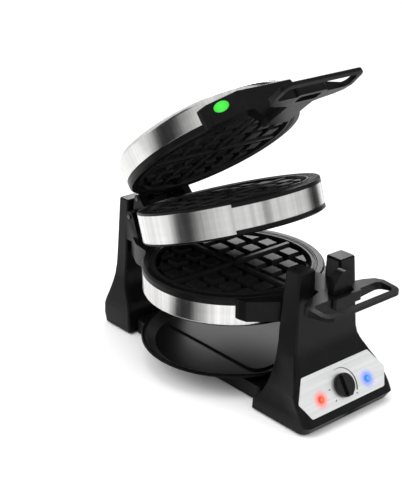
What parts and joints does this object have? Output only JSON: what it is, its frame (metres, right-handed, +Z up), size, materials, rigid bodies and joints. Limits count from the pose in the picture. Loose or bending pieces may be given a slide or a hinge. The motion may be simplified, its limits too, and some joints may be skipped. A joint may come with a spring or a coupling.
{
  "type": "waffle maker",
  "caption": "Flip-over double waffle maker: hinged round steel head with a middle plate pair turns in two towers over a drip tray; dial, lamps, loop handles and latch.",
  "frame": {"origin": "on the table plane, under the middle of the overall length and width", "axes": "+X to the right when facing the dial, +Y from the dial and handles towards the rear tower, +Z up"},
  "size_m": [0.212, 0.3756, 0.3625],
  "materials": {
    "black_plastic": "satin moulded",
    "tray_plastic": "smooth satin",
    "knob_plastic": "gloss",
    "liner_plastic": "smooth",
    "steel_band": "brushed",
    "panel_steel": "fine brushed",
    "nonstick": "dark non-stick coat",
    "element_steel": "oxidised",
    "reflector": "mill",
    "fastener_steel": "zinc plated",
    "rubber": "matte",
    "red_lens": "lit, clear tint",
    "blue_lens": "lit, clear tint",
    "green_lens": "lit, clear tint",
    "board": "varnished",
    "thermostat": "smooth"
  },
  "bodies": {
    "base": {"base_spine": "black_plastic", "drip_tray": "tray_plastic", "sole_plate": "black_plastic", "sole_screws": "fastener_steel", "rubber_feet": "rubber", "front_tower": "black_plastic", "rear_tower": "black_plastic", "front_cradle_liner": "liner_plastic", "rear_bush": "liner_plastic", "control_plate": "panel_steel", "power_lens": "red_lens", "ready_lens": "blue_lens", "lamp_board": "board", "thermostat": "thermostat", "cord_gland": "rubber"},
    "dial": {"control_knob": "knob_plastic"},
    "lower": {"lower_cover": "steel_band", "lower_rim": "black_plastic", "lower_plate": "nonstick", "lower_heater": "element_steel", "lower_reflector": "reflector", "lower_plate_screws": "fastener_steel", "lower_front_block": "black_plastic", "lower_handle": "black_plastic", "lower_handle_screws": "fastener_steel", "latch_pin": "fastener_steel", "rear_yoke": "black_plastic", "middle_hinge_pin": "fastener_steel"},
    "latch": {"handle_latch": "black_plastic"},
    "middle": {"middle_band": "steel_band", "middle_upper_rim": "black_plastic", "middle_lower_rim": "black_plastic", "middle_upper_plate": "nonstick", "middle_lower_plate": "nonstick", "middle_heater": "element_steel", "middle_hinge_arm": "black_plastic", "lid_hinge_pin": "fastener_steel"},
    "lid": {"lid_cover": "steel_band", "lid_rim": "black_plastic", "lid_plate": "nonstick", "lid_heater": "element_steel", "lid_reflector": "reflector", "lid_plate_screws": "fastener_steel", "lid_front_block": "black_plastic", "lid_lens": "green_lens", "lid_handle": "black_plastic", "lid_handle_screws": "fastener_steel", "lid_hinge_arms": "black_plastic"}
  },
  "joints": [
    {"name": "head_flip", "type": "hinge", "parent": "base", "child": "lower", "pos_m": [0, 0.16215, 0.14], "axis": [0, 1, 0], "range_deg": [0, 90]},
    {"name": "middle_hinge", "type": "hinge", "parent": "lower", "child": "middle", "pos_m": [0, 0.14515, 0.146], "axis": [1, 0, 0], "range_deg": [0, 18.2]},
    {"name": "lid_hinge", "type": "hinge", "parent": "middle", "child": "lid", "pos_m": [0, 0.14064, 0.16748], "axis": [1, 0, 0], "range_deg": [0, 21.4]},
    {"name": "latch_tilt", "type": "hinge", "parent": "lower", "child": "latch", "pos_m": [0, -0.15135, 0.1334], "axis": [1, 0, 0], "range_deg": [0, 6]},
    {"name": "dial_turn", "type": "hinge", "parent": "base", "child": "dial", "pos_m": [0, -0.16276, 0.03499], "axis": [0, -0.8387, 0.5446], "range_deg": [-135, 135]}
  ]
}
